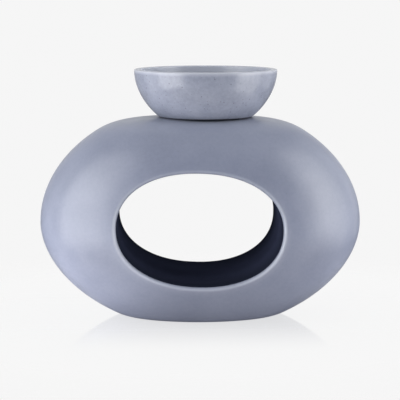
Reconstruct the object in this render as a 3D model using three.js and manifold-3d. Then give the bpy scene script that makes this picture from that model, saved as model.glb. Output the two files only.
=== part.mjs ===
// Wax melt burner: a hollow stoneware pebble with a tunnel for a tealight and a loose dish on its crown.
// Millimetres, +Z up. The tunnel runs along Y, and the origin is on the table under the middle of the body.
import * as THREE from 'three';
import { ParametricGeometry } from 'three/addons/geometries/ParametricGeometry.js';
import { mergeVertices } from 'three/addons/utils/BufferGeometryUtils.js';
import Module from 'manifold-3d';

// Body: a pebble with a level crown and a level base
const bodyWidth = 160;
const bodyDepth = 90;
const crownRise = 59.6; // from the waist, the widest level, up to the uncut crown
const bellyDrop = 55; // from the waist down to the uncut belly
const crownCut = 7.4; // height taken off the crown to make the dish's seat
const baseCut = 7.6; // height taken off the belly to make the base
const crownBlend = 6.7; // height over which the seat runs into the curved sides
const baseBlend = 2.4; // height over which the base runs into the curved sides
const bodyFullness = 2.6; // power of the pebble's depth: 2 is an ellipse, more is squarer
const bellyFullness = 1.88; // power of the outline below the waist: 2 is an ellipse, less is more pointed
const bodyWall = 5;

// Underside of the body
const footRingWidth = 7;
const footRecess = 1.2;
const ventDiameter = 6; // lets hot air out of the hollow wall

// Tunnel through the body
const openingWidth = 80.7;
const openingHeight = 55.2;
const openingRise = 0.2; // its centre lies this far above the waist
const openingShift = -1.1; // and this far to the side
const openingTurn = THREE.MathUtils.degToRad(-2.1); // hand-finished, so not quite level
const openingFullness = 2.17; // power of its outline: 2 is an ellipse
const rimRounding = 2.4;
const sleeveWall = 4.5;

// Flue from the tunnel's roof up through the crown
const heatHoleDiameter = 30;
const collarWall = 4;

// Dish: a loose bowl with a ring below that drops into the flue
const dishDiameter = 71.2;
const dishHeight = 23.7;
const dishFootDiameter = 46.4;
const dishFootRounding = 0.8;
const dishWall = 3;
const dishFloor = 5;
const lipRounding = 0.7; // of both edges of its level lip
const dishFullness = 1.85; // power of its outer curve: 2 is an ellipse, less is more conical
const hollowFullness = 2.6; // power of its inner curve
const dishRingHeight = 4;
const dishRingWall = 3;
const dishPlay = 3.2; // radial room of the ring in the flue
const dishRestRoom = 0.5; // what is left of that room on the side that the dish has slid to

const seam = 0.3; // joint between the walls of the body

// How finely the curves are divided
const ringSteps = 72;
const skinSteps = 7;
const innerSkinSteps = 6;
const roundingSteps = 3;
const pebbleBands = 36;
const holeSteps = 48;
const dishSteps = 56;
const bowlSteps = 9;
const arcSteps = 4;

// Heights and radii that follow from the sizes above
const waistHeight = bellyDrop - baseCut;
const seatHeight = waistHeight + crownRise - crownCut;
const openingCentreHeight = waistHeight + openingRise;
const heatHoleRadius = heatHoleDiameter / 2;
const dishRingRadius = heatHoleRadius - dishPlay;
const dishShift = dishPlay - dishRestRoom;

const wasm = await Module();
wasm.setup();

function solidFrom(geometry) {
  geometry.deleteAttribute('normal');
  geometry.deleteAttribute('uv');
  const welded = mergeVertices(geometry);
  return new wasm.Manifold(new wasm.Mesh({
    numProp: 3,
    vertProperties: new Float32Array(welded.attributes.position.array),
    triVerts: new Uint32Array(welded.index.array),
  }));
}

function geometryFrom(solid) {
  const mesh = solid.getMesh();
  const geometry = new THREE.BufferGeometry();
  geometry.setAttribute('position', new THREE.BufferAttribute(mesh.vertProperties, 3));
  geometry.setIndex(new THREE.BufferAttribute(mesh.triVerts, 1));
  geometry.computeVertexNormals();
  return geometry;
}

function pieceFrom(name, geometry, material) {
  const mesh = new THREE.Mesh(geometry, material);
  mesh.name = name;
  return mesh;
}

// Upright cylinder about the Z axis between two heights
function uprightCylinder(radius, low, high) {
  const geometry = new THREE.CylinderGeometry(radius, radius, high - low, holeSteps);
  geometry.rotateX(Math.PI / 2);
  geometry.translate(0, 0, (low + high) / 2);
  return geometry;
}

// Power of a number that keeps its sign
function signedPower(value, power) {
  return Math.sign(value) * Math.abs(value) ** power;
}

// The smaller of two heights, with the corner between them softened
function softMin(first, second, blend) {
  const nearness = Math.max(blend - Math.abs(first - second), 0) / blend;
  return Math.min(first, second) - nearness ** 2 * blend / 4;
}

// Sizes of the pebble, or of a smaller one that lies inside it by a distance
function pebbleInset(distance) {
  return {
    halfWidth: bodyWidth / 2 - distance,
    halfDepth: bodyDepth / 2 - distance,
    rise: crownRise - distance,
    drop: bellyDrop - distance,
    top: seatHeight - distance,
    base: distance,
  };
}

// Shares of a pebble's reach, sideways and up, on its outline at an angle round the waist's middle
function outlineShares(angle) {
  const power = Math.sin(angle) > 0 ? 1 : 2 / bellyFullness;
  return { across: signedPower(Math.cos(angle), power), up: signedPower(Math.sin(angle), power) };
}

// Point on a pebble. across and up are shares of its reach, and out is the share of its depth, signed.
function pebblePoint(pebble, across, up, out) {
  const reach = up > 0 ? pebble.rise : pebble.drop;
  const belowSeat = softMin(waistHeight + reach * up, pebble.top, crownBlend);
  const height = -softMin(-belowSeat, -pebble.base, baseBlend);
  return new THREE.Vector3(pebble.halfWidth * across, pebble.halfDepth * out, height);
}

// Closed pebble without openings, its poles at the front and the rear
function pebbleSolid(pebble) {
  const geometry = new THREE.SphereGeometry(1, ringSteps, pebbleBands);
  const position = geometry.attributes.position;
  const direction = new THREE.Vector3();
  for (let index = 0; index < position.count; index++) {
    direction.fromBufferAttribute(position, index);
    const reach = Math.hypot(direction.x, direction.z);
    const shares = outlineShares(Math.atan2(direction.z, direction.x));
    const out = signedPower(direction.y, 2 / bodyFullness);
    const point = pebblePoint(pebble, shares.across * reach, shares.up * reach, out);
    position.setXYZ(index, point.x, point.y, point.z);
  }
  return solidFrom(geometry);
}

function isInOpening(x, z) {
  const offset = new THREE.Vector2(x - openingShift, z - openingCentreHeight);
  offset.rotateAround(new THREE.Vector2(), -openingTurn);
  const across = Math.abs(offset.x) / (openingWidth / 2);
  const up = Math.abs(offset.y) / (openingHeight / 2);
  return across ** openingFullness + up ** openingFullness < 1;
}

// Share of a pebble's reach, in a direction from the waist's middle, where the opening ends
function openingReach(pebble, across, up) {
  const height = up > 0 ? pebble.rise : pebble.drop;
  let inside = 0;
  let outside = 1;
  for (let halving = 0; halving < 40; halving++) {
    const middle = (inside + outside) / 2;
    if (isInOpening(pebble.halfWidth * across * middle, waistHeight + height * up * middle)) {
      inside = middle;
    } else {
      outside = middle;
    }
  }
  return outside;
}

// Straight prism along Y with the opening's outline, grown on all sides
function tunnelPrism(growth) {
  const outline = [];
  for (let step = 0; step < ringSteps; step++) {
    const angle = step / ringSteps * 2 * Math.PI;
    const point = new THREE.Vector2(
      (openingWidth / 2 + growth) * signedPower(Math.cos(angle), 2 / openingFullness),
      (openingHeight / 2 + growth) * signedPower(Math.sin(angle), 2 / openingFullness),
    );
    point.rotateAround(new THREE.Vector2(), openingTurn);
    outline.push(point.add(new THREE.Vector2(openingShift, openingCentreHeight)));
  }
  const length = { depth: bodyDepth, bevelEnabled: false };
  const geometry = new THREE.ExtrudeGeometry(new THREE.Shape(outline), length);
  geometry.rotateX(Math.PI / 2);
  geometry.translate(0, bodyDepth / 2, 0);
  return solidFrom(geometry);
}

// Half of the shell's section, from an opening's rounded edge to the silhouette.
// turn runs from 0 to 1 over the rounding, and progress from 0 to 1 over the skin.
function outerStations(side) {
  const stations = [];
  for (let step = 0; step < roundingSteps; step++) {
    stations.push({ skin: 'outer', side, turn: step / roundingSteps, progress: 0 });
  }
  for (let step = 0; step < skinSteps; step++) {
    stations.push({ skin: 'outer', side, turn: 1, progress: step / skinSteps });
  }
  return stations;
}

function innerStations(side) {
  const stations = [];
  for (let step = 0; step < innerSkinSteps; step++) {
    stations.push({ skin: 'inner', side, turn: 1, progress: step / innerSkinSteps });
  }
  return stations;
}

// Point of the shell at an angle round the tunnel and a station of the section
function shellPoint(angle, station) {
  const isOuter = station.skin === 'outer';
  const pebble = pebbleInset(isOuter ? 0 : bodyWall);
  const rounding = isOuter ? rimRounding : 0;
  const { across, up } = outlineShares(angle);
  const edge = openingReach(pebble, across, up);
  const millimetres = Math.hypot(pebble.halfWidth * across, (up > 0 ? pebble.rise : pebble.drop) * up);
  const roundingAngle = station.turn * Math.PI / 2;
  const skinStart = edge + rounding * (1 - Math.cos(roundingAngle)) / millimetres;
  const lowered = rounding * (1 - Math.sin(roundingAngle)) / pebble.halfDepth;
  const lean = Math.acos(skinStart) * (1 - station.progress) ** (bodyFullness / 2);
  const reach = Math.cos(lean);
  const out = Math.sin(lean) ** (2 / bodyFullness) - lowered;
  return pebblePoint(pebble, across * reach, up * reach, station.side * out);
}

function bodyShell(material) {
  const outerWaist = { skin: 'outer', side: 1, turn: 1, progress: 1 };
  const innerWaist = { skin: 'inner', side: 1, turn: 1, progress: 1 };
  const section = [
    ...outerStations(-1), outerWaist, ...outerStations(1).reverse(),
    ...innerStations(1), innerWaist, ...innerStations(-1).reverse(),
  ];
  const surface = (u, v, target) => {
    const station = section[Math.round(v * section.length) % section.length];
    target.copy(shellPoint((1 - u) * 2 * Math.PI, station));
  };
  const wall = solidFrom(new ParametricGeometry(surface, ringSteps, section.length));

  const levelShare = (waistHeight + baseBlend) / bellyDrop; // where the base turns level
  const levelWidth = bodyWidth * (1 - levelShare ** bellyFullness) ** (1 / bellyFullness);
  const levelDepth = bodyDepth * (1 - levelShare ** 2) ** (1 / bodyFullness);
  const recess = uprightCylinder(1, -footRecess, footRecess);
  recess.scale(levelWidth / 2 - footRingWidth, levelDepth / 2 - footRingWidth, 1);
  const heatHole = uprightCylinder(heatHoleRadius, waistHeight, seatHeight + bodyWall);
  const vent = uprightCylinder(ventDiameter / 2, -bodyWall, 2 * bodyWall);
  const cut = wall.subtract(solidFrom(heatHole)).subtract(solidFrom(recess)).subtract(solidFrom(vent));
  return pieceFrom('body_shell', geometryFrom(cut), material);
}

// Wall of the tunnel, its ends against the inside of the shell
function tunnelSleeve(material) {
  const tube = tunnelPrism(sleeveWall).subtract(tunnelPrism(0));
  const heatHole = uprightCylinder(heatHoleRadius, openingCentreHeight, seatHeight);
  const fitted = tube.intersect(pebbleSolid(pebbleInset(bodyWall + seam)));
  return pieceFrom('tunnel_sleeve', geometryFrom(fitted.subtract(solidFrom(heatHole))), material);
}

// Ring between the tunnel's roof and the underside of the crown
function flueCollar(material) {
  const low = openingCentreHeight;
  const outside = solidFrom(uprightCylinder(heatHoleRadius + collarWall, low, seatHeight));
  const bore = solidFrom(uprightCylinder(heatHoleRadius, low - bodyWall, seatHeight + bodyWall));
  const belowCrown = outside.intersect(pebbleSolid(pebbleInset(bodyWall + seam)));
  const aboveTunnel = belowCrown.subtract(tunnelPrism(sleeveWall + seam));
  return pieceFrom('flue_collar', geometryFrom(aboveTunnel.subtract(bore)), material);
}

// Radius of a bowl's curve at a depth below its lip, where the full curve closes at closingDepth
function bowlRadius(lipRadius, depth, closingDepth, fullness) {
  return lipRadius * (1 - (depth / closingDepth) ** fullness) ** (1 / fullness);
}

function waxDish(material) {
  const wallHeight = dishHeight - lipRounding; // up to where the lip starts to round
  const outerRadius = dishDiameter / 2;
  const innerRadius = outerRadius - dishWall;
  const footRadius = dishFootDiameter / 2;
  const footShare = (1 - (footRadius / outerRadius) ** dishFullness) ** (1 / dishFullness);
  const closingDepth = wallHeight / footShare;
  const hollowDepth = wallHeight - dishFloor;

  const profile = new THREE.Path();
  profile.moveTo(0, 0);
  profile.lineTo(dishRingRadius - dishRingWall, 0);
  profile.lineTo(dishRingRadius - dishRingWall, -dishRingHeight);
  profile.lineTo(dishRingRadius, -dishRingHeight);
  profile.lineTo(dishRingRadius, 0);
  profile.lineTo(footRadius - dishFootRounding, 0);
  const wallFoot = bowlRadius(outerRadius, wallHeight - dishFootRounding, closingDepth, dishFullness);
  profile.quadraticCurveTo(footRadius, 0, wallFoot, dishFootRounding);
  for (let step = 1; step < bowlSteps; step++) {
    const depth = (wallHeight - dishFootRounding) * (1 - step / bowlSteps);
    profile.lineTo(bowlRadius(outerRadius, depth, closingDepth, dishFullness), wallHeight - depth);
  }
  profile.lineTo(outerRadius, wallHeight);
  profile.absarc(outerRadius - lipRounding, wallHeight, lipRounding, 0, Math.PI / 2);
  profile.absarc(innerRadius + lipRounding, wallHeight, lipRounding, Math.PI / 2, Math.PI);
  for (let step = 1; step < bowlSteps; step++) {
    const lean = step / bowlSteps * Math.PI / 2;
    const depth = hollowDepth * Math.sin(lean) ** (2 / hollowFullness);
    const radius = innerRadius * Math.cos(lean) ** (2 / hollowFullness);
    profile.lineTo(radius, wallHeight - depth);
  }
  profile.lineTo(0, dishFloor);

  const geometry = new THREE.LatheGeometry(profile.getPoints(arcSteps), dishSteps);
  geometry.rotateX(Math.PI / 2);
  const dish = pieceFrom('wax_dish', geometry, material);
  dish.position.set(dishShift, 0, seatHeight);
  return dish;
}

const greyGlaze = new THREE.MeshStandardMaterial({ color: 0x8f96ab, roughness: 0.3, metalness: 0 });
const navyGlaze = new THREE.MeshStandardMaterial({ color: 0x1c2030, roughness: 0.45, metalness: 0 });
const bareClay = new THREE.MeshStandardMaterial({ color: 0x3a3c46, roughness: 0.7, metalness: 0 });
const dishGlaze = new THREE.MeshStandardMaterial({ color: 0x9aa0b2, roughness: 0.32, metalness: 0 });

const burner = new THREE.Group();
burner.add(bodyShell(greyGlaze));
burner.add(tunnelSleeve(navyGlaze));
burner.add(flueCollar(bareClay));
burner.add(waxDish(dishGlaze));

export default burner;
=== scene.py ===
"""Looks of a wax melt burner: a glazed stoneware pebble with a dark tunnel and a loose dish on top."""
import math

import bmesh
import bpy
import numpy as np
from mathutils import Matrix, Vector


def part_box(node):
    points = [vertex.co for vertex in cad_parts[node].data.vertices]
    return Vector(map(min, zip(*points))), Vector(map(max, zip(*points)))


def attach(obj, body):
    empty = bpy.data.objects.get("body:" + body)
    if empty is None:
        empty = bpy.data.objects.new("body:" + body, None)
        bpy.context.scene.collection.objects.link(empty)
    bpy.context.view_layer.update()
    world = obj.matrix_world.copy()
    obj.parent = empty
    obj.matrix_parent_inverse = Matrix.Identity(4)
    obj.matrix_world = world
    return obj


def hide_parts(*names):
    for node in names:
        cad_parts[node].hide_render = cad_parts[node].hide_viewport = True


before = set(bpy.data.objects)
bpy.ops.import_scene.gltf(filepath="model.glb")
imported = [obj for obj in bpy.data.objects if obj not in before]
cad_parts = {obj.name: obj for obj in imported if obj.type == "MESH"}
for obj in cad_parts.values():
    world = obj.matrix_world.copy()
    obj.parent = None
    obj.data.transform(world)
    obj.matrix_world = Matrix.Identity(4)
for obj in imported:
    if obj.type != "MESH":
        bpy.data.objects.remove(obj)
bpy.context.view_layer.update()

# Camera of the photograph, fitted to the outline, the tunnel's rims and the dish.
# Its lens and sensor are in millimetres, and all other sizes are in metres.
CAMERA_DISTANCE = 0.8646
CAMERA_HEIGHT = 0.1692
CAMERA_PITCH = math.radians(7.356)
CAMERA_AZIMUTH = math.radians(-1.346)
CAMERA_LENS = 156.2
CAMERA_SENSOR = 36.0
CAMERA_SHIFT = -0.0005

# Pebble of the body
_, shell_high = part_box("body_shell")
HALF_WIDTH = shell_high.x
HALF_DEPTH = 0.045
CROWN_RISE = 0.0596
BELLY_DROP = 0.055
CROWN_CUT = 0.0074
BASE_CUT = 0.0076
CROWN_BLEND = 0.0067
BASE_BLEND = 0.0024
BODY_FULLNESS = 2.6
BELLY_FULLNESS = 1.88
BODY_WALL = 0.005
WAIST_HEIGHT = BELLY_DROP - BASE_CUT
SEAT_HEIGHT = WAIST_HEIGHT + CROWN_RISE - CROWN_CUT

# Tunnel
OPENING_HALF_WIDTH = 0.04035
OPENING_HALF_HEIGHT = 0.0276
OPENING_SHIFT = -0.0011
OPENING_LIFT = 0.0002
OPENING_CENTRE_HEIGHT = WAIST_HEIGHT + OPENING_LIFT
OPENING_TURN = math.radians(-2.1)
OPENING_FULLNESS = 2.17
RIM_ROUNDING = 0.0024
SLEEVE_WALL = 0.0045

# Flue and underside, with the turn of the heat hole's edges in degrees
HEAT_HOLE_RADIUS = 0.015
HOLE_ROUNDING = 0.0008
HOLE_EDGE_TURN = 80
COLLAR_WALL = 0.004
SEAM = 0.0003
FOOT_RING_WIDTH = 0.007
FOOT_RECESS = 0.0012
RECESS_TAPER = 0.97
VENT_RADIUS = 0.003

# Dish
dish_low, dish_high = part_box("wax_dish")
DISH_RADIUS = (dish_high.x - dish_low.x) / 2
DISH_CENTRE = (dish_high.x + dish_low.x) / 2
DISH_TOP = dish_high.z
DISH_RING_BOTTOM = dish_low.z
DISH_FOOT_RADIUS = 0.0232
DISH_FOOT_ROUNDING = 0.0008
DISH_WALL = 0.003
DISH_FLOOR = 0.005
LIP_ROUNDING = 0.0007
DISH_FULLNESS = 1.85
HOLLOW_FULLNESS = 2.6
DISH_RING_RADIUS = 0.0118
DISH_RING_WALL = 0.003
DISH_RING_ROUNDING = 0.0006
DISH_WALL_FOOT = SEAT_HEIGHT + DISH_FOOT_ROUNDING
DISH_WALL_TOP = DISH_TOP - LIP_ROUNDING

# How finely the surfaces are divided and the opening's edge is searched for, which edges are too short to
# keep, and what angle stays a sharp edge
RING_STEPS = 240
SKIN_STEPS = 40
INNER_STEPS = 14
ROUNDING_STEPS = 8
HALVING_STEPS = 40
LATHE_STEPS = 192
VENT_STEPS = 48
HOLE_EDGE_STEPS = 6
SLEEVE_STEPS = 24
SLEEVE_BACK_STEPS = 8
COLLAR_STEPS = 8
DISH_RING_STEPS = 4
DISH_FOOT_STEPS = 8
DISH_WALL_STEPS = 36
DISH_HOLLOW_STEPS = 40
LIP_STEPS = 8
TINY_EDGE = 0.000002
SHARP_EDGE = math.radians(38)

# How pale the glaze is painted, partly where it runs thin and partly as painted light: across a rim of the
# tunnel by shares of its rounding, a pale line that is also a painted highlight, how much of that is left
# along the rim from the opening's lowest point, -1, to its highest, 1, and painted light on top of the
# crown
PALE_GLAZE_AND_PAINTED_LIGHT = "pale_glaze_and_painted_light"
RIM_CREST = ((0.0, 0.3, 0.45, 0.6, 0.8, 1.0, 2.0), (0.0, 0.7, 1.0, 1.0, 0.5, 0.2, 0.0))
RIM_LINE_ALONG = ((-1.0, -0.8, 0.0, 1.0), (0.6, 1.0, 1.0, 0.3))
CROWN_PAINTED_LIGHT = 0.35

# Where the colour changes: painted light along the tunnel's middle, the lip's pale edge fading below the
# dish's lip, its bare foot, whose dark clay is also painted shade where the dish sits on the crown, and
# behind the rims, where the tunnel's wall leans little and lies near the opening's outline
PAINTED_LIGHT_IN_TUNNEL = (0.01, 0.032)
LIP_FADE = 0.002
BARE_FOOT_AND_SHADE = 0.0004
TUNNEL_WALL_LEAN = 0.12
TUNNEL_WALL_SHARE = 1.01

# Texture of the glazes: scales are per metre, spreads are the noise values between which a pattern fades,
# and specks are sized in shares of their cells
CLOUD_SCALE = 38
CLOUD_SPREAD = (0.35, 0.65)
CLOUD_SHARE = 0.6
GRAIN_SCALE = 620
GRAIN_SPREAD = (0.3, 0.7)
GRAIN_SHARE = 0.4
DARK_SPECK_SCALE = 640
PALE_SPECK_SCALE = 700
PALE_SPECK_SHARE = 0.7
SPECK_SIZE = 0.3
SPECK_CORE = 0.15
SPECK_STRENGTH = (0.3, 1.0)
GLOSS_SCALE = 150
GLOSS_SPREAD = (0.3, 0.7)
DULLER = 0.04
GLOSSIER = 0.03
WAVE_SCALE = 90
GRAIN_RELIEF = 0.4
RELIEF_STRENGTH = 0.05
RELIEF_DEPTH = 0.0003

# Studio's light as radiance, and the parts of a direction, from -1 to 1, between which it changes
BACKGROUND_LEVEL = 0.92
FRONT_LEVEL = 0.03
BACK_LEVEL = 0.7
TOP_LEVEL = 0.8
BELOW_SHARE = 0.2
FRONT_TO_BACK = (-0.6, 0.6)
BELOW_TO_LEVEL = (-0.3, 0.2)
LEVEL_TO_TOP = (0.4, 1.0)

# Softboxes: name, degrees from the front towards the right, width, rise, height of the middle and radiance
SOFTBOX_DISTANCE = 0.75
SOFTBOXES = (
    ("left_key", -60, 0.6, 0.8, 0.025, 5.0),
    ("left_high", -60, 0.6, 0.4, 0.625, 3.5),
    ("left_wing", -98, 0.5, 0.95, 0.1, 1.0),
    ("right_key", 74, 0.62, 1.4, 0.2, 2.95),
    ("right_near", 65, 0.4, 0.6, 0.2, 2.4),
    ("right_wing", 112, 0.5, 0.95, 0.3, 0.9),
)

# Floor: its reach, the share of it that hasn't begun to fade, and the gap that keeps it off the foot
FLOOR_REACH = 0.2
FLOOR_SOLID_SHARE = 0.6
FLOOR_GAP = 0.00005

# Light that the floor throws up at the object, from its left, middle and right, and where it changes
FLOOR_PAINT = (0.38, 0.38, 0.39, 1.0)
GLOW_TINT = (1.0, 0.96, 0.93, 1.0)
GLOW_LEFT = 5.3
GLOW_MIDDLE = 1.1
GLOW_RIGHT = 3.0
LEFT_TO_MIDDLE = (-0.11, -0.01)
MIDDLE_TO_RIGHT = (0.05, 0.12)
GLOW_SHADE = (-0.04, 0.05)

# What the camera sees of the floor, and the faint mirror in it, from the front to the back
WHITE = (1.0, 1.0, 1.0, 1.0)
SEEN_GLOW = 0.99
SHADOW_SHARE = 0.12
SHADOW_PAINT = (0.9, 0.9, 0.9, 1.0)
MIRROR_SHARE = 0.3
MIRROR_ROUGHNESS = 0.06
MIRROR_FRONT = (-0.095, -0.02)
MIRROR_BACK = (0.03, 0.08)
MIRROR_EDGE = (0.1, 0.15)


def ring_angles(steps):
    """Angles of even steps round a full turn."""
    return np.arange(steps) / steps * 2 * math.pi


def signed_power(value, power):
    """Power of a number that keeps its sign."""
    return np.sign(value) * np.abs(value) ** power


def soft_min(first, second, blend):
    """The smaller of two heights, with the corner between them softened."""
    nearness = np.maximum(blend - np.abs(first - second), 0) / blend
    return np.minimum(first, second) - nearness ** 2 * blend / 4


def outline_fullness(up):
    """Power of the body's outline: an ellipse's 2 above the waist, and its own power below."""
    return np.where(up > 0, 2.0, BELLY_FULLNESS)


def outline_directions():
    """Points round the body's outline, as shares of its half width and of its reach up or down."""
    angles = ring_angles(RING_STEPS)
    fullness = outline_fullness(np.sin(angles))
    return signed_power(np.cos(angles), 2 / fullness), signed_power(np.sin(angles), 2 / fullness)


def pebble_reach(inset, up):
    """Height of a pebble above or below the waist, before its crown and base are cut level."""
    return np.where(up > 0, CROWN_RISE, BELLY_DROP) - inset


def pebble_point(inset, across, up, out):
    """Points on a pebble that lies inside the body's skin by inset, from shares of its reach."""
    height = WAIST_HEIGHT + pebble_reach(inset, up) * up
    height = soft_min(height, SEAT_HEIGHT - inset, CROWN_BLEND)
    height = -soft_min(-height, -inset, BASE_BLEND)
    return np.stack([(HALF_WIDTH - inset) * across, (HALF_DEPTH - inset) * out, height], axis=-1)


def pebble_depth(inset, x, z):
    """Half depth of a pebble over points of the XZ plane."""
    across = x / (HALF_WIDTH - inset)
    up = (z - WAIST_HEIGHT) / pebble_reach(inset, z - WAIST_HEIGHT)
    fullness = outline_fullness(up)
    share = (np.abs(across) ** fullness + np.abs(up) ** fullness) ** (2 / fullness)
    return (HALF_DEPTH - inset) * np.maximum(1 - share, 0) ** (1 / BODY_FULLNESS)


def opening_share(x, z):
    """How far points of the XZ plane lie from the opening's centre, where 1 is on its outline."""
    along = x - OPENING_SHIFT
    rise = z - OPENING_CENTRE_HEIGHT
    across = np.abs(along * math.cos(OPENING_TURN) + rise * math.sin(OPENING_TURN)) / OPENING_HALF_WIDTH
    up = np.abs(-along * math.sin(OPENING_TURN) + rise * math.cos(OPENING_TURN)) / OPENING_HALF_HEIGHT
    return (across ** OPENING_FULLNESS + up ** OPENING_FULLNESS) ** (1 / OPENING_FULLNESS)


def opening_reach(inset, across, up):
    """Share of a pebble's reach at which the opening ends, in directions from the waist's middle."""
    inside = np.zeros_like(across)
    outside = np.ones_like(across)
    for _ in range(HALVING_STEPS):
        middle = (inside + outside) / 2
        x = (HALF_WIDTH - inset) * across * middle
        z = WAIST_HEIGHT + pebble_reach(inset, up) * up * middle
        within = opening_share(x, z) < 1
        inside = np.where(within, middle, inside)
        outside = np.where(within, outside, middle)
    return outside


def opening_outline(angles, growth):
    """Points of the opening's outline, grown on all sides, as x and z."""
    along = (OPENING_HALF_WIDTH + growth) * signed_power(np.cos(angles), 2 / OPENING_FULLNESS)
    rise = (OPENING_HALF_HEIGHT + growth) * signed_power(np.sin(angles), 2 / OPENING_FULLNESS)
    x = OPENING_SHIFT + along * math.cos(OPENING_TURN) - rise * math.sin(OPENING_TURN)
    z = OPENING_CENTRE_HEIGHT + along * math.sin(OPENING_TURN) + rise * math.cos(OPENING_TURN)
    return x, z


def new_object(name, points, faces):
    """Mesh object of the scene, from points and faces."""
    mesh = bpy.data.meshes.new(name)
    mesh.from_pydata([tuple(point) for point in points], [], faces)
    mesh.update()
    piece = bpy.data.objects.new(name, mesh)
    bpy.context.scene.collection.objects.link(piece)
    return piece


def ring_object(name, rows, flip=False):
    """Closed surface from rows of points: each row is a closed loop, and the last row joins the first."""
    row_count, column_count = rows.shape[:2]
    faces = []
    for row in range(row_count):
        next_row = (row + 1) % row_count
        for column in range(column_count):
            next_column = (column + 1) % column_count
            corners = [
                row * column_count + column,
                row * column_count + next_column,
                next_row * column_count + next_column,
                next_row * column_count + column,
            ]
            faces.append(corners[::-1] if flip else corners)
    return new_object(name, rows.reshape(-1, 3), faces)


def lathe_object(name, profile, centre=0.0, stretch=(1.0, 1.0), steps=LATHE_STEPS):
    """Solid of revolution about an upright axis from (radius, height) points that start and end on it."""
    points = [(centre, 0.0, profile[0][1])]
    for radius, height in profile[1:-1]:
        for angle in ring_angles(steps):
            x = centre + radius * stretch[0] * math.cos(angle)
            points.append((x, radius * stretch[1] * math.sin(angle), height))
    points.append((centre, 0.0, profile[-1][1]))
    last = len(points) - 1
    ring_count = len(profile) - 2
    faces = []
    for step in range(steps):
        after = (step + 1) % steps
        faces.append((0, 1 + after, 1 + step))
        for ring in range(ring_count - 1):
            low = 1 + ring * steps
            high = low + steps
            faces.append((low + step, low + after, high + after, high + step))
        top = 1 + (ring_count - 1) * steps
        faces.append((top + step, top + after, last))
    return new_object(name, points, faces)


def arc_points(centre, radius, start, end, steps):
    """Points of an arc in a profile, its ends included, with angles in degrees."""
    angles = np.radians(np.linspace(start, end, steps + 1))
    return [(centre[0] + radius * math.cos(a), centre[1] + radius * math.sin(a)) for a in angles]


def join_tiny_edges(mesh):
    """Joins points that lie almost on each other, which leaves no face without area."""
    surface = bmesh.new()
    surface.from_mesh(mesh)
    bmesh.ops.remove_doubles(surface, verts=surface.verts, dist=TINY_EDGE)
    bmesh.ops.dissolve_degenerate(surface, dist=TINY_EDGE, edges=surface.edges)
    surface.to_mesh(mesh)
    surface.free()


def cut_away(piece, cutter):
    """Takes the cutter's solid out of the piece, and deletes the cutter."""
    cut = piece.modifiers.new("cut", "BOOLEAN")
    cut.operation = "DIFFERENCE"
    cut.solver = "EXACT"
    cut.object = cutter
    depsgraph = bpy.context.evaluated_depsgraph_get()
    result = bpy.data.meshes.new_from_object(piece.evaluated_get(depsgraph))
    piece.modifiers.clear()
    piece.data = result
    bpy.data.objects.remove(cutter)
    join_tiny_edges(result)


def smooth_shaded(piece):
    """Shades the piece as one smooth surface, apart from its sharp edges."""
    piece.data.shade_smooth()
    piece.data.set_sharp_from_angle(angle=SHARP_EDGE)


def hole_cutter(low, high, round_low, round_high):
    """Upright cutter for the heat hole, flared at the heights given, where the hole's edge is round."""
    wide = HEAT_HOLE_RADIUS + HOLE_ROUNDING
    profile = [(0.0, low)]
    if round_low is None:
        profile += [(HEAT_HOLE_RADIUS, low)]
    else:
        middle = (wide, round_low + HOLE_ROUNDING)
        profile += [(wide, low), (wide, round_low)]
        profile += arc_points(middle, HOLE_ROUNDING, 180 + HOLE_EDGE_TURN, 180, HOLE_EDGE_STEPS)
    if round_high is None:
        profile += [(HEAT_HOLE_RADIUS, high)]
    else:
        middle = (wide, round_high - HOLE_ROUNDING)
        profile += arc_points(middle, HOLE_ROUNDING, 180, 180 - HOLE_EDGE_TURN, HOLE_EDGE_STEPS)
        profile += [(wide, round_high), (wide, high)]
    profile += [(0.0, high)]
    return lathe_object("cutter", profile)


def skin_rows(inset, rounding, turns, progresses, side):
    """Loops of points on one side of a pebble: turns of 0 to 1 go round the rim of the opening, and
    progresses of 0 to 1 go from there out to the pebble's outline."""
    across, up = outline_directions()
    edge = opening_reach(inset, across, up)
    length = np.hypot((HALF_WIDTH - inset) * across, pebble_reach(inset, up) * up)
    rows = []
    for turn, progress in zip(turns, progresses):
        angle = turn * math.pi / 2
        start = edge + rounding * (1 - math.cos(angle)) / length
        lowered = rounding * (1 - math.sin(angle)) / (HALF_DEPTH - inset)
        lean = np.arccos(start) * (1 - progress) ** (BODY_FULLNESS / 2)
        out = np.sin(lean) ** (2 / BODY_FULLNESS) - lowered
        rows.append(pebble_point(inset, across * np.cos(lean), up * np.cos(lean), side * out))
    return rows


def cut_foot(shell):
    """Cuts the recess inside the foot ring, and the vent hole in its middle."""
    level_share = (WAIST_HEIGHT + BASE_BLEND) / BELLY_DROP
    level_width = HALF_WIDTH * (1 - level_share ** BELLY_FULLNESS) ** (1 / BELLY_FULLNESS)
    level_depth = HALF_DEPTH * (1 - level_share ** 2) ** (1 / BODY_FULLNESS)
    recess_size = (level_width - FOOT_RING_WIDTH, level_depth - FOOT_RING_WIDTH)
    recess_profile = [(0.0, -FOOT_RECESS), (1.0, -FOOT_RECESS), (1.0, 0.0)]
    recess_profile += [(RECESS_TAPER, FOOT_RECESS), (0.0, FOOT_RECESS)]
    cut_away(shell, lathe_object("cutter", recess_profile, stretch=recess_size))
    low = -BODY_WALL
    high = 2 * BODY_WALL
    vent_profile = [(0.0, low), (VENT_RADIUS, low), (VENT_RADIUS, high), (0.0, high)]
    cut_away(shell, lathe_object("cutter", vent_profile, steps=VENT_STEPS))


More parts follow.
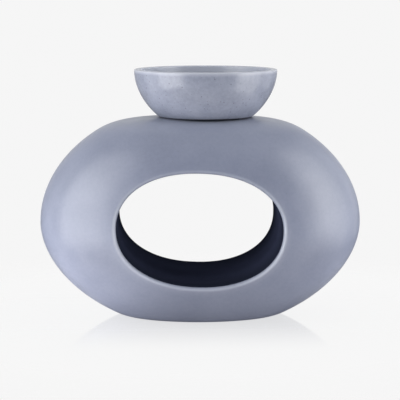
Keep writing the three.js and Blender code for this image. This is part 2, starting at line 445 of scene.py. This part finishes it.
def make_shell():
    """Outer wall of the body, with its rounded rims, the heat hole in the crown and the foot below."""
    turns = [step / ROUNDING_STEPS for step in range(ROUNDING_STEPS)] + [1.0] * SKIN_STEPS
    progresses = [0.0] * ROUNDING_STEPS + [step / SKIN_STEPS for step in range(SKIN_STEPS)]
    inner_turns = [1.0] * INNER_STEPS
    inner_progresses = [step / INNER_STEPS for step in range(INNER_STEPS)]
    rows = skin_rows(0.0, RIM_ROUNDING, turns, progresses, -1)
    rows += skin_rows(0.0, RIM_ROUNDING, [1.0], [1.0], 1)
    rows += skin_rows(0.0, RIM_ROUNDING, turns, progresses, 1)[::-1]
    rows += skin_rows(BODY_WALL, 0.0, inner_turns, inner_progresses, 1)
    rows += skin_rows(BODY_WALL, 0.0, [1.0], [1.0], 1)
    rows += skin_rows(BODY_WALL, 0.0, inner_turns, inner_progresses, -1)[::-1]
    shell = ring_object("body_shell_glazed", np.array(rows), flip=True)
    cut_away(shell, hole_cutter(WAIST_HEIGHT, SEAT_HEIGHT + BODY_WALL, None, SEAT_HEIGHT))
    cut_foot(shell)
    smooth_shaded(shell)
    return shell


def make_sleeve():
    """Wall of the tunnel behind the rims, with the heat hole in its roof."""
    angles = ring_angles(RING_STEPS)
    layers = (
        (0.0, np.linspace(-1, 1, SLEEVE_STEPS + 1)),
        (SLEEVE_WALL, np.linspace(1, -1, SLEEVE_BACK_STEPS + 1)),
    )
    rows = []
    for growth, shares in layers:
        x, z = opening_outline(angles, growth)
        depth = pebble_depth(BODY_WALL, x, z)
        rows += [np.stack([x, depth * share, z], axis=-1) for share in shares]
    sleeve = ring_object("tunnel_sleeve_glazed", np.array(rows))
    roof = OPENING_CENTRE_HEIGHT + OPENING_HALF_HEIGHT
    cut_away(sleeve, hole_cutter(OPENING_CENTRE_HEIGHT, roof + 2 * SLEEVE_WALL, roof, None))
    smooth_shaded(sleeve)
    return sleeve


def sleeve_top(x):
    """Height just above the outside of the tunnel's roof."""
    along = np.clip((x - OPENING_SHIFT) / (OPENING_HALF_WIDTH + SLEEVE_WALL + SEAM), -1, 1)
    share = (1 - np.abs(along) ** OPENING_FULLNESS) ** (1 / OPENING_FULLNESS)
    level_top = OPENING_CENTRE_HEIGHT + (OPENING_HALF_HEIGHT + SLEEVE_WALL + SEAM) * share
    return level_top + (x - OPENING_SHIFT) * math.tan(OPENING_TURN)


def crown_underside(x, y):
    """Height just below the inside of the crown."""
    out = np.abs(y) / (HALF_DEPTH - BODY_WALL)
    reach = np.sqrt(np.maximum(1 - (x / (HALF_WIDTH - BODY_WALL)) ** 2 - out ** BODY_FULLNESS, 0))
    crown = WAIST_HEIGHT + (CROWN_RISE - BODY_WALL) * reach
    return soft_min(crown, SEAT_HEIGHT - BODY_WALL, CROWN_BLEND) - SEAM


def make_collar():
    """Wall of the flue between the tunnel's roof and the underside of the crown."""
    angles = ring_angles(LATHE_STEPS)
    layers = (
        (HEAT_HOLE_RADIUS, np.linspace(0, 1, COLLAR_STEPS + 1)),
        (HEAT_HOLE_RADIUS + COLLAR_WALL, (1, 0)),
    )
    rows = []
    for radius, shares in layers:
        x = radius * np.cos(angles)
        y = radius * np.sin(angles)
        low = sleeve_top(x)
        high = crown_underside(x, y)
        rows += [np.stack([x, y, low + (high - low) * share], axis=-1) for share in shares]
    collar = ring_object("flue_collar_fired", np.array(rows), flip=True)
    smooth_shaded(collar)
    return collar


def dish_wall_radius(height):
    """Outer radius of the dish's wall at a height."""
    foot_share = (1 - (DISH_FOOT_RADIUS / DISH_RADIUS) ** DISH_FULLNESS) ** (1 / DISH_FULLNESS)
    closing_depth = (DISH_WALL_TOP - SEAT_HEIGHT) / foot_share
    depth_share = np.maximum(DISH_WALL_TOP - height, 0) / closing_depth
    return DISH_RADIUS * np.maximum(1 - depth_share ** DISH_FULLNESS, 0) ** (1 / DISH_FULLNESS)


def dish_ring_profile():
    """Half section below the dish, from the axis over the ring to the ring's outer side."""
    inside = DISH_RING_RADIUS - DISH_RING_WALL
    bend = DISH_RING_ROUNDING
    low = DISH_RING_BOTTOM + bend
    profile = [(0.0, SEAT_HEIGHT), (inside, SEAT_HEIGHT)]
    profile += arc_points((inside + bend, low), bend, 180, 270, DISH_RING_STEPS)
    profile += arc_points((DISH_RING_RADIUS - bend, low), bend, 270, 360, DISH_RING_STEPS)
    profile.append((DISH_RING_RADIUS, SEAT_HEIGHT))
    return profile


def dish_wall_profile():
    """Half section of the dish's outside, from the softened edge of its foot to below the lip."""
    foot_start = DISH_FOOT_RADIUS - DISH_FOOT_ROUNDING
    foot_end = dish_wall_radius(DISH_WALL_FOOT)
    profile = []
    for share in np.linspace(0, 1, DISH_FOOT_STEPS + 1):
        bend = 2 * share * (1 - share)
        radius = (1 - share) ** 2 * foot_start + bend * DISH_FOOT_RADIUS + share ** 2 * foot_end
        profile.append((radius, SEAT_HEIGHT + share ** 2 * DISH_FOOT_ROUNDING))
    for height in np.linspace(DISH_WALL_FOOT, DISH_WALL_TOP, DISH_WALL_STEPS + 1)[1:-1]:
        profile.append((dish_wall_radius(height), height))
    return profile


def dish_hollow_profile():
    """Half section of the dish's lip and hollow, down to the axis."""
    inner_radius = DISH_RADIUS - DISH_WALL
    depth = DISH_WALL_TOP - SEAT_HEIGHT - DISH_FLOOR
    profile = arc_points((DISH_RADIUS - LIP_ROUNDING, DISH_WALL_TOP), LIP_ROUNDING, 0, 90, LIP_STEPS)
    profile += arc_points((inner_radius + LIP_ROUNDING, DISH_WALL_TOP), LIP_ROUNDING, 90, 180, LIP_STEPS)
    for lean in np.linspace(0, math.pi / 2, DISH_HOLLOW_STEPS + 1)[1:-1]:
        radius = inner_radius * math.cos(lean) ** (2 / HOLLOW_FULLNESS)
        profile.append((radius, DISH_WALL_TOP - depth * math.sin(lean) ** (2 / HOLLOW_FULLNESS)))
    profile.append((0.0, SEAT_HEIGHT + DISH_FLOOR))
    return profile


def make_dish():
    """Loose bowl with the ring below it that drops into the flue."""
    profile = dish_ring_profile() + dish_wall_profile() + dish_hollow_profile()
    dish = lathe_object("wax_dish_glazed", profile, centre=DISH_CENTRE)
    smooth_shaded(dish)
    return dish


class Nodes:
    """Short way to add linked shader nodes to a material or a world."""

    def __init__(self, owner):
        owner.use_nodes = True
        self.tree = owner.node_tree
        self.tree.nodes.clear()

    def add(self, kind, inputs=None, **settings):
        """New node, with a number, a colour or another node's socket for each input."""
        node = self.tree.nodes.new(kind)
        for key, value in settings.items():
            setattr(node, key, value)
        for key, value in (inputs or {}).items():
            if isinstance(value, bpy.types.NodeSocket):
                self.tree.links.new(value, node.inputs[key])
            else:
                node.inputs[key].default_value = value
        return node

    def math(self, operation, first, second):
        """Result of an operation on two values."""
        return self.add("ShaderNodeMath", {0: first, 1: second}, operation=operation).outputs[0]

    def product(self, first, *others):
        """Values multiplied in turn."""
        for other in others:
            first = self.math("MULTIPLY", first, other)
        return first

    def mix(self, share, first, second):
        """Value between two values, which are inputs 2 and 3 of the node."""
        return self.add("ShaderNodeMix", {0: share, 2: first, 3: second}).outputs[0]

    def blend(self, share, first, second):
        """Colour between two colours, which are inputs 6 and 7 of the node."""
        return self.add("ShaderNodeMix", {0: share, 6: first, 7: second}, data_type="RGBA").outputs[2]

    def span(self, value, low, high, start=0.0, end=1.0):
        """Smooth step from start to end as the value goes from low to high."""
        limits = {0: value, 1: low, 2: high, 3: start, 4: end}
        return self.add("ShaderNodeMapRange", limits, interpolation_type="SMOOTHSTEP").outputs[0]

    def noise(self, position, scale, detail=2.0, roughness=0.5):
        """Cloudy noise of about 0 to 1."""
        inputs = {"Vector": position, "Scale": scale, "Detail": detail, "Roughness": roughness}
        return self.add("ShaderNodeTexNoise", inputs).outputs[0]

    def specks(self, position, scale):
        """Small specks, 0 outside and up to 1 inside, of random size and strength."""
        cells = self.add("ShaderNodeTexVoronoi", {"Vector": position, "Scale": scale}).outputs
        strength = self.add("ShaderNodeSeparateColor", {0: cells["Color"]}).outputs[0]
        reach = self.math("DIVIDE", cells["Distance"], strength)
        disc = self.span(reach, SPECK_CORE, SPECK_SIZE, 1.0, 0.0)
        return self.product(disc, self.span(strength, *SPECK_STRENGTH))

    def shader(self, kind, **inputs):
        """Output of a shader node, with its inputs by name."""
        return self.add(kind, inputs).outputs[0]

    def glow(self, strength, colour=WHITE):
        """Shader that gives light of its own."""
        return self.shader("ShaderNodeEmission", Color=colour, Strength=strength)

    def both(self, first, second):
        """Two shaders added up."""
        return self.add("ShaderNodeAddShader", {0: first, 1: second}).outputs[0]

    def between(self, share, first, second):
        """Mix of two shaders."""
        return self.add("ShaderNodeMixShader", {0: share, 1: first, 2: second}).outputs[0]


def linear(red, green, blue):
    """Linear colour with alpha from sRGB values of 0 to 255."""
    shares = [value / 255 for value in (red, green, blue)]
    return [s / 12.92 if s <= 0.04045 else ((s + 0.055) / 1.055) ** 2.4 for s in shares] + [1.0]


def glaze_material(name, body, pale, edge, speck, mottle, roughness, speck_share, thin_and_lit_share, shine=0.5):
    """Glazed stoneware: clouded colour, fine specks and pits, and paler where the glaze runs thin or where
    light is painted on.
    """
    material = bpy.data.materials.new(name)
    nodes = Nodes(material)
    place = nodes.add("ShaderNodeTexCoord").outputs["Object"]
    cloud = nodes.span(nodes.noise(place, CLOUD_SCALE, detail=3.0, roughness=0.55), *CLOUD_SPREAD)
    grain = nodes.span(nodes.noise(place, GRAIN_SCALE, detail=3.0, roughness=0.6), *GRAIN_SPREAD)
    dark_specks = nodes.specks(place, DARK_SPECK_SCALE)
    pale_specks = nodes.specks(place, PALE_SPECK_SCALE)
    thin_and_lit = nodes.add("ShaderNodeAttribute", attribute_name=PALE_GLAZE_AND_PAINTED_LIGHT).outputs["Fac"]

    tone = nodes.math("ADD", nodes.product(cloud, CLOUD_SHARE), nodes.product(grain, GRAIN_SHARE))
    colour = nodes.blend(nodes.product(tone, mottle), body, pale)
    colour = nodes.blend(nodes.product(dark_specks, speck_share), colour, speck)
    colour = nodes.blend(nodes.product(pale_specks, speck_share * PALE_SPECK_SHARE), colour, pale)
    # Edge colour where vertices are marked: glaze running thin on rims and lip, with painted highlights,
    # and painted light on the crown, in the dish's hollow and in the tunnel's middle.
    colour = nodes.blend(nodes.product(thin_and_lit, thin_and_lit_share), colour, edge)

    gloss_noise = nodes.noise(place, GLOSS_SCALE)
    gloss = nodes.span(gloss_noise, *GLOSS_SPREAD, roughness - GLOSSIER, roughness + DULLER)
    height = nodes.math("ADD", nodes.product(grain, GRAIN_RELIEF), nodes.noise(place, WAVE_SCALE))
    height = nodes.math("SUBTRACT", height, nodes.product(dark_specks, speck_share))
    relief_inputs = {"Height": height, "Strength": RELIEF_STRENGTH, "Distance": RELIEF_DEPTH}
    relief = nodes.add("ShaderNodeBump", relief_inputs).outputs[0]
    surface = nodes.add("ShaderNodeBsdfPrincipled", {
        "Base Color": colour,
        "Roughness": gloss,
        "Normal": relief,
        "Specular IOR Level": shine,
    }).outputs[0]
    nodes.add("ShaderNodeOutputMaterial", {"Surface": surface})
    return material


def mark_pale_glaze_and_painted_light(piece, thinness):
    """Stores on each vertex, from 0 to 1, how thin the glaze has run there and how much painted light it
    gets.
    """
    attribute = piece.data.attributes.new(PALE_GLAZE_AND_PAINTED_LIGHT, "FLOAT", "POINT")
    points = np.array([vertex.co for vertex in piece.data.vertices])
    attribute.data.foreach_set("value", thinness(points).astype(np.float32))


def shell_paleness_and_painted_light(points):
    """Pale line on the tunnel's rounded rims, most on their crest, partly thin glaze and partly a painted
    highlight, and painted light on top of the crown.
    """
    x, _, z = points.T
    rise = z - OPENING_CENTRE_HEIGHT
    growth = np.hypot(x - OPENING_SHIFT, rise) * (1 - 1 / opening_share(x, z))
    # Pale rim line: partly glaze running thin over the edge, partly a painted highlight, weaker towards the
    # opening's top.
    along_rim = np.interp(rise / OPENING_HALF_HEIGHT, *RIM_LINE_ALONG)
    rim = np.interp(growth / RIM_ROUNDING, *RIM_CREST) * along_rim
    # Painted light: the top of the crown is lightened where it lies in shade under the dish.
    crown = np.interp(SEAT_HEIGHT - z, (0, CROWN_BLEND), (CROWN_PAINTED_LIGHT, 0))
    return np.maximum(rim, crown)


def tunnel_painted_light(points):
    """Painted light: 1 half way through the tunnel, where less light reaches its wall, fading towards its
    mouths.
    """
    return np.interp(np.abs(points[:, 1]), PAINTED_LIGHT_IN_TUNNEL, (1, 0))


def lip_paleness_and_painted_light(points):
    """1 on the dish's lip, partly thin glaze and partly a painted highlight, fading a little way down its
    outside, and painted light fading down its hollow to the floor.
    """
    below = DISH_TOP - points[:, 2]
    radius = np.hypot(points[:, 0] - DISH_CENTRE, points[:, 1])
    is_inside = radius < dish_wall_radius(points[:, 2]) - DISH_WALL / 2
    fade = np.where(is_inside, DISH_TOP - SEAT_HEIGHT - DISH_FLOOR, LIP_FADE)
    return np.clip(1 - below / fade, 0, 1)


def paint_tunnel_edge(shell, material):
    """Gives the shell's part of the tunnel wall, behind the rounded rims, the tunnel's glaze."""
    shell.data.materials.append(material)
    for face in shell.data.polygons:
        x, _, z = face.center
        outward = (x - OPENING_SHIFT) * face.normal.x + (z - OPENING_CENTRE_HEIGHT) * face.normal.z
        is_tunnel_wall = abs(face.normal.y) < TUNNEL_WALL_LEAN and outward < 0
        if is_tunnel_wall and opening_share(x, z) < TUNNEL_WALL_SHARE:
            face.material_index = 1


def paint_dish_foot_and_shade(dish, material):
    """Leaves the dish's underside and the edge of its foot as dark bare clay, where the glaze was wiped
    off, which is also painted shade along the crevice where the dish sits on the crown.
    """
    dish.data.materials.append(material)
    for face in dish.data.polygons:
        if face.center.z < SEAT_HEIGHT + BARE_FOOT_AND_SHADE:
            face.material_index = 1


def softbox(name, degrees, width, rise, height, radiance, receivers):
    """Upright soft light that faces the object and lights only the receivers, so the floor has no glare."""
    angle = math.radians(degrees)
    data = bpy.data.lights.new(name, "AREA")
    data.shape = "RECTANGLE"
    data.size = width
    data.size_y = rise
    data.energy = radiance * math.pi * width * rise
    lamp = bpy.data.objects.new(name, data)
    bpy.context.scene.collection.objects.link(lamp)
    lamp.location = (math.sin(angle) * SOFTBOX_DISTANCE, -math.cos(angle) * SOFTBOX_DISTANCE, height)
    lamp.rotation_euler = (math.pi / 2, 0.0, angle)
    lamp.visible_camera = False
    lamp.light_linking.receiver_collection = receivers


def make_world():
    """Studio: dim in front, bright behind and above, and an even background to the camera."""
    world = bpy.data.worlds.new("studio")
    bpy.context.scene.world = world
    nodes = Nodes(world)
    direction = nodes.add("ShaderNodeTexCoord").outputs["Generated"]
    _, depth, rise = nodes.add("ShaderNodeSeparateXYZ", {0: direction}).outputs
    level = nodes.product(
        nodes.span(depth, *FRONT_TO_BACK, FRONT_LEVEL, BACK_LEVEL),
        nodes.span(rise, *BELOW_TO_LEVEL, BELOW_SHARE, 1.0),
    )
    level = nodes.mix(nodes.span(rise, *LEVEL_TO_TOP), level, TOP_LEVEL)
    seen = nodes.add("ShaderNodeLightPath").outputs["Is Camera Ray"]
    strength = nodes.mix(seen, level, BACKGROUND_LEVEL)
    surface = nodes.shader("ShaderNodeBackground", Color=WHITE, Strength=strength)
    nodes.add("ShaderNodeOutputWorld", {"Surface": surface})


def floor_light(nodes, across, distance, diffuse_ray):
    """What the object gets from the floor: dull paint, and a glow for the lamps' light thrown back."""
    left_light = nodes.span(across, *LEFT_TO_MIDDLE, GLOW_LEFT, GLOW_MIDDLE)
    right_light = nodes.span(across, *MIDDLE_TO_RIGHT, 0.0, GLOW_RIGHT - GLOW_MIDDLE)
    light = nodes.math("ADD", left_light, right_light)
    light = nodes.product(light, nodes.span(distance, *GLOW_SHADE), diffuse_ray)
    paint = nodes.shader("ShaderNodeBsdfDiffuse", Color=FLOOR_PAINT)
    return nodes.both(paint, nodes.glow(light, GLOW_TINT))


def floor_backdrop(nodes):
    """What the camera sees of the floor: an even white, and some paint that takes the object's shadow."""
    paint = nodes.shader("ShaderNodeBsdfDiffuse", Color=SHADOW_PAINT)
    return nodes.between(SHADOW_SHARE, nodes.glow(SEEN_GLOW), paint)


def floor_mirror(nodes, seen):
    """Polish that mirrors the object, and whose background is as bright to the camera as the world's."""
    polish = nodes.shader("ShaderNodeBsdfGlossy", Color=WHITE, Roughness=MIRROR_ROUGHNESS)
    return nodes.both(polish, nodes.glow(nodes.product(seen, BACKGROUND_LEVEL - BACK_LEVEL)))


def floor_material():
    """Pale floor with a faint mirror under the object, fading out towards its edge."""
    material = bpy.data.materials.new("pale_floor")
    nodes = Nodes(material)
    place = nodes.add("ShaderNodeTexCoord").outputs["Object"]
    distance = nodes.add("ShaderNodeVectorMath", {0: place}, operation="LENGTH").outputs["Value"]
    across, depth, _ = nodes.add("ShaderNodeSeparateXYZ", {0: place}).outputs
    path = nodes.add("ShaderNodeLightPath").outputs
    seen = path["Is Camera Ray"]
    light = floor_light(nodes, across, distance, path["Is Diffuse Ray"])
    pale = nodes.between(seen, light, floor_backdrop(nodes))
    mirror_share = nodes.product(
        nodes.span(depth, *MIRROR_FRONT, 0.0, MIRROR_SHARE),
        nodes.span(depth, *MIRROR_BACK, 1.0, 0.0),
        nodes.span(distance, *MIRROR_EDGE, 1.0, 0.0),
    )
    polished = nodes.between(mirror_share, pale, floor_mirror(nodes, seen))
    fade = nodes.span(distance, FLOOR_REACH * FLOOR_SOLID_SHARE, FLOOR_REACH)
    surface = nodes.between(fade, polished, nodes.shader("ShaderNodeBsdfTransparent"))
    nodes.add("ShaderNodeOutputMaterial", {"Surface": surface})
    return material


def make_floor():
    """Pale floor just under the object."""
    sides = ((-1, -1), (1, -1), (1, 1), (-1, 1))
    corners = [(x * FLOOR_REACH, y * FLOOR_REACH, -FLOOR_GAP) for x, y in sides]
    floor = new_object("floor", corners, [(0, 1, 2, 3)])
    floor.data.materials.append(floor_material())


def make_camera():
    """Camera at the photograph's place and angle."""
    data = bpy.data.cameras.new("camera")
    data.lens = CAMERA_LENS
    data.sensor_width = CAMERA_SENSOR
    data.sensor_fit = "HORIZONTAL"
    data.shift_x = CAMERA_SHIFT
    camera = bpy.data.objects.new("camera", data)
    bpy.context.scene.collection.objects.link(camera)
    camera.location = (
        math.sin(CAMERA_AZIMUTH) * CAMERA_DISTANCE,
        -math.cos(CAMERA_AZIMUTH) * CAMERA_DISTANCE,
        CAMERA_HEIGHT,
    )
    camera.rotation_euler = (math.pi / 2 - CAMERA_PITCH, 0.0, CAMERA_AZIMUTH)
    bpy.context.scene.camera = camera


bpy.context.scene.view_settings.view_transform = "Standard"
make_camera()
make_world()
make_floor()

# Body glaze: its edge colour paints the rims' pale line, partly thin glaze and partly a painted highlight,
# and painted light on the crown's top.
body_glaze = glaze_material(
    "body_glaze",
    body=linear(110, 116, 135),
    pale=linear(127, 133, 152),
    edge=linear(178, 183, 196),
    speck=linear(92, 96, 112),
    mottle=0.55,
    roughness=0.32,
    speck_share=0.2,
    thin_and_lit_share=0.7,
    shine=0.6,
)
# Dish glaze: its edge colour paints the lip, partly thin glaze and partly a painted highlight, and painted
# light in the hollow.
dish_glaze = glaze_material(
    "dish_glaze",
    body=linear(122, 127, 143),
    pale=linear(146, 151, 166),
    edge=linear(178, 182, 193),
    speck=linear(86, 90, 106),
    mottle=0.7,
    roughness=0.22,
    speck_share=0.6,
    thin_and_lit_share=0.75,
)
# Tunnel glaze: its edge colour, at full share, is painted light in the tunnel's middle.
tunnel_glaze = glaze_material(
    "tunnel_glaze",
    body=linear(30, 33, 46),
    pale=linear(36, 40, 54),
    edge=linear(56, 61, 82),
    speck=linear(14, 15, 24),
    mottle=0.6,
    roughness=0.55,
    speck_share=0.5,
    thin_and_lit_share=1.0,
    shine=0.0,
)
# Dark clay of the flue, also used on the dish's foot edge as painted shade where the dish sits on the
# crown.
flue_clay = glaze_material(
    "flue_clay",
    body=linear(46, 46, 54),
    pale=linear(62, 61, 66),
    edge=linear(80, 80, 86),
    speck=linear(26, 26, 32),
    mottle=0.8,
    roughness=0.6,
    speck_share=0.6,
    thin_and_lit_share=0.0,
    shine=0.2,
)

shell = make_shell()
shell.data.materials.append(body_glaze)
paint_tunnel_edge(shell, tunnel_glaze)
mark_pale_glaze_and_painted_light(shell, shell_paleness_and_painted_light)
sleeve = make_sleeve()
sleeve.data.materials.append(tunnel_glaze)
mark_pale_glaze_and_painted_light(sleeve, tunnel_painted_light)
collar = make_collar()
collar.data.materials.append(flue_clay)
dish = make_dish()
dish.data.materials.append(dish_glaze)
paint_dish_foot_and_shade(dish, flue_clay)
mark_pale_glaze_and_painted_light(dish, lip_paleness_and_painted_light)

lit_pieces = bpy.data.collections.new("lit_pieces")
for piece, node, body, slot in (
    (shell, "body_shell", "burner", "body_glaze"),
    (sleeve, "tunnel_sleeve", "burner", "tunnel_glaze"),
    (collar, "flue_collar", "burner", "flue_clay"),
    (dish, "wax_dish", "dish", "dish_glaze"),
):
    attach(piece, body)
    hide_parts(node)
    lit_pieces.objects.link(piece)
for settings in SOFTBOXES:
    softbox(*settings, lit_pieces)
